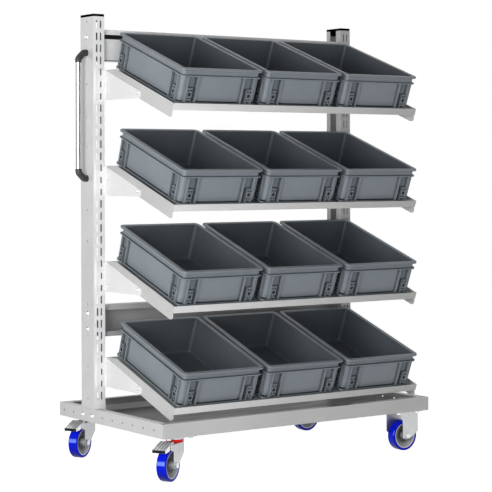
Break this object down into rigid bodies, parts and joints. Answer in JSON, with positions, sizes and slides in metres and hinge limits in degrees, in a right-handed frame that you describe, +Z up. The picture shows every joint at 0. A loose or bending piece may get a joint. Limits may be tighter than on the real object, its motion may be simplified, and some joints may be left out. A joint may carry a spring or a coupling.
{
  "type": "mobile bin cart",
  "caption": "Mobile cart with four tilted shelves of lift-out plastic bins on two slotted posts, a push handle and a wheeled base with braked swivel castors.",
  "frame": {"origin": "middle of the whole cart's box, on the floor under the wheels", "axes": "+X to the right as seen from the open front, +Y to the back, +Z up"},
  "size_m": [1.089, 0.652, 1.4285],
  "materials": {
    "base_steel": "light grey powder coat, satin",
    "post_steel": "light grey powder coat, satin",
    "tray_steel": "light grey powder coat, satin",
    "deck_steel": "grey sheet, semi-gloss",
    "zinc": "bright zinc plate",
    "handle_metal": "anodised, smooth",
    "black_plastic": "moulded, matte",
    "bin_plastic": "moulded, satin",
    "hub_plastic": "moulded, satin",
    "ring_plastic": "moulded, gloss",
    "tyre_blue": "blue elastic rubber, satin"
  },
  "bodies": {
    "cart_frame": {"base_front_rail": "base_steel", "base_back_rail": "base_steel", "base_left_end": "base_steel", "base_right_end": "base_steel", "castor_cross_plates": "base_steel", "deck_pan": "deck_steel", "left_post": "post_steel", "right_post": "post_steel", "post_caps": "black_plastic", "top_beam": "post_steel", "lower_beam": "post_steel", "frame_bolts": "zinc", "handle_tube": "handle_metal", "handle_ends": "black_plastic", "handle_screws": "zinc", "tray_1": "tray_steel", "tray_2": "tray_steel", "tray_3": "tray_steel", "tray_4": "tray_steel", "brackets_1": "tray_steel", "brackets_2": "tray_steel", "brackets_3": "tray_steel", "brackets_4": "tray_steel", "arms_1": "tray_steel", "arms_2": "tray_steel", "arms_3": "tray_steel", "arms_4": "tray_steel", "shelf_bolts": "zinc", "castor_plates": "zinc", "castor_bolts": "zinc", "swivel_ring_front": "ring_plastic", "swivel_ring_back": "ring_plastic", "fixed_forks": "zinc", "fixed_axles": "zinc"},
    "bin_1_left": {"bin_1_left": "bin_plastic"},
    "bin_1_middle": {"bin_1_middle": "bin_plastic"},
    "bin_1_right": {"bin_1_right": "bin_plastic"},
    "bin_2_left": {"bin_2_left": "bin_plastic"},
    "bin_2_middle": {"bin_2_middle": "bin_plastic"},
    "bin_2_right": {"bin_2_right": "bin_plastic"},
    "bin_3_left": {"bin_3_left": "bin_plastic"},
    "bin_3_middle": {"bin_3_middle": "bin_plastic"},
    "bin_3_right": {"bin_3_right": "bin_plastic"},
    "bin_4_left": {"bin_4_left": "bin_plastic"},
    "bin_4_middle": {"bin_4_middle": "bin_plastic"},
    "bin_4_right": {"bin_4_right": "bin_plastic"},
    "swivel_front": {"fork_front": "zinc", "axle_front": "zinc"},
    "wheel_front": {"hub_front": "hub_plastic", "tyre_front": "tyre_blue"},
    "brake_front": {"pedal_front": "zinc"},
    "swivel_back": {"fork_back": "zinc", "axle_back": "zinc"},
    "wheel_back": {"hub_back": "hub_plastic", "tyre_back": "tyre_blue"},
    "brake_back": {"pedal_back": "zinc"},
    "fixed_wheel_front": {"fixed_hub_front": "hub_plastic", "fixed_tyre_front": "tyre_blue"},
    "fixed_wheel_back": {"fixed_hub_back": "hub_plastic", "fixed_tyre_back": "tyre_blue"}
  },
  "joints": [
    {"name": "bin_1_left_lift", "type": "slide", "parent": "cart_frame", "child": "bin_1_left", "axis": [0, -0.3355, 0.9421], "range_m": [0, 0.1]},
    {"name": "bin_1_middle_lift", "type": "slide", "parent": "cart_frame", "child": "bin_1_middle", "axis": [0, -0.3355, 0.9421], "range_m": [0, 0.1]},
    {"name": "bin_1_right_lift", "type": "slide", "parent": "cart_frame", "child": "bin_1_right", "axis": [0, -0.3355, 0.9421], "range_m": [0, 0.1]},
    {"name": "bin_2_left_lift", "type": "slide", "parent": "cart_frame", "child": "bin_2_left", "axis": [0, -0.3355, 0.9421], "range_m": [0, 0.1]},
    {"name": "bin_2_middle_lift", "type": "slide", "parent": "cart_frame", "child": "bin_2_middle", "axis": [0, -0.3355, 0.9421], "range_m": [0, 0.1]},
    {"name": "bin_2_right_lift", "type": "slide", "parent": "cart_frame", "child": "bin_2_right", "axis": [0, -0.3355, 0.9421], "range_m": [0, 0.1]},
    {"name": "bin_3_left_lift", "type": "slide", "parent": "cart_frame", "child": "bin_3_left", "axis": [0, -0.3355, 0.9421], "range_m": [0, 0.1]},
    {"name": "bin_3_middle_lift", "type": "slide", "parent": "cart_frame", "child": "bin_3_middle", "axis": [0, -0.3355, 0.9421], "range_m": [0, 0.1]},
    {"name": "bin_3_right_lift", "type": "slide", "parent": "cart_frame", "child": "bin_3_right", "axis": [0, -0.3355, 0.9421], "range_m": [0, 0.1]},
    {"name": "bin_4_left_lift", "type": "slide", "parent": "cart_frame", "child": "bin_4_left", "axis": [0, -0.3355, 0.9421], "range_m": [0, 0.1]},
    {"name": "bin_4_middle_lift", "type": "slide", "parent": "cart_frame", "child": "bin_4_middle", "axis": [0, -0.3355, 0.9421], "range_m": [0, 0.1]},
    {"name": "bin_4_right_lift", "type": "slide", "parent": "cart_frame", "child": "bin_4_right", "axis": [0, -0.3355, 0.9421], "range_m": [0, 0.1]},
    {"name": "swivel_front_turn", "type": "hinge", "parent": "cart_frame", "child": "swivel_front", "pos_m": [-0.432, -0.25305, 0.118], "axis": [0, 0, 1], "continuous": true},
    {"name": "wheel_front_roll", "type": "hinge", "parent": "swivel_front", "child": "wheel_front", "pos_m": [-0.4701, -0.27505, 0.05], "axis": [0.5, -0.866, 0], "continuous": true},
    {"name": "brake_front_press", "type": "hinge", "parent": "swivel_front", "child": "brake_front", "pos_m": [-0.48223, -0.28205, 0.108], "axis": [0.5, -0.866, 0], "range_deg": [0, 9]},
    {"name": "swivel_back_turn", "type": "hinge", "parent": "cart_frame", "child": "swivel_back", "pos_m": [-0.432, 0.27695, 0.118], "axis": [0, 0, 1], "continuous": true},
    {"name": "wheel_back_roll", "type": "hinge", "parent": "swivel_back", "child": "wheel_back", "pos_m": [-0.4701, 0.25495, 0.05], "axis": [0.5, -0.866, 0], "continuous": true},
    {"name": "brake_back_press", "type": "hinge", "parent": "swivel_back", "child": "brake_back", "pos_m": [-0.48223, 0.24795, 0.108], "axis": [0.5, -0.866, 0], "range_deg": [0, 9]},
    {"name": "fixed_wheel_front_roll", "type": "hinge", "parent": "cart_frame", "child": "fixed_wheel_front", "pos_m": [0.467, -0.25305, 0.05], "axis": [0, 1, 0], "continuous": true},
    {"name": "fixed_wheel_back_roll", "type": "hinge", "parent": "cart_frame", "child": "fixed_wheel_back", "pos_m": [0.467, 0.27695, 0.05], "axis": [0, 1, 0], "continuous": true}
  ]
}
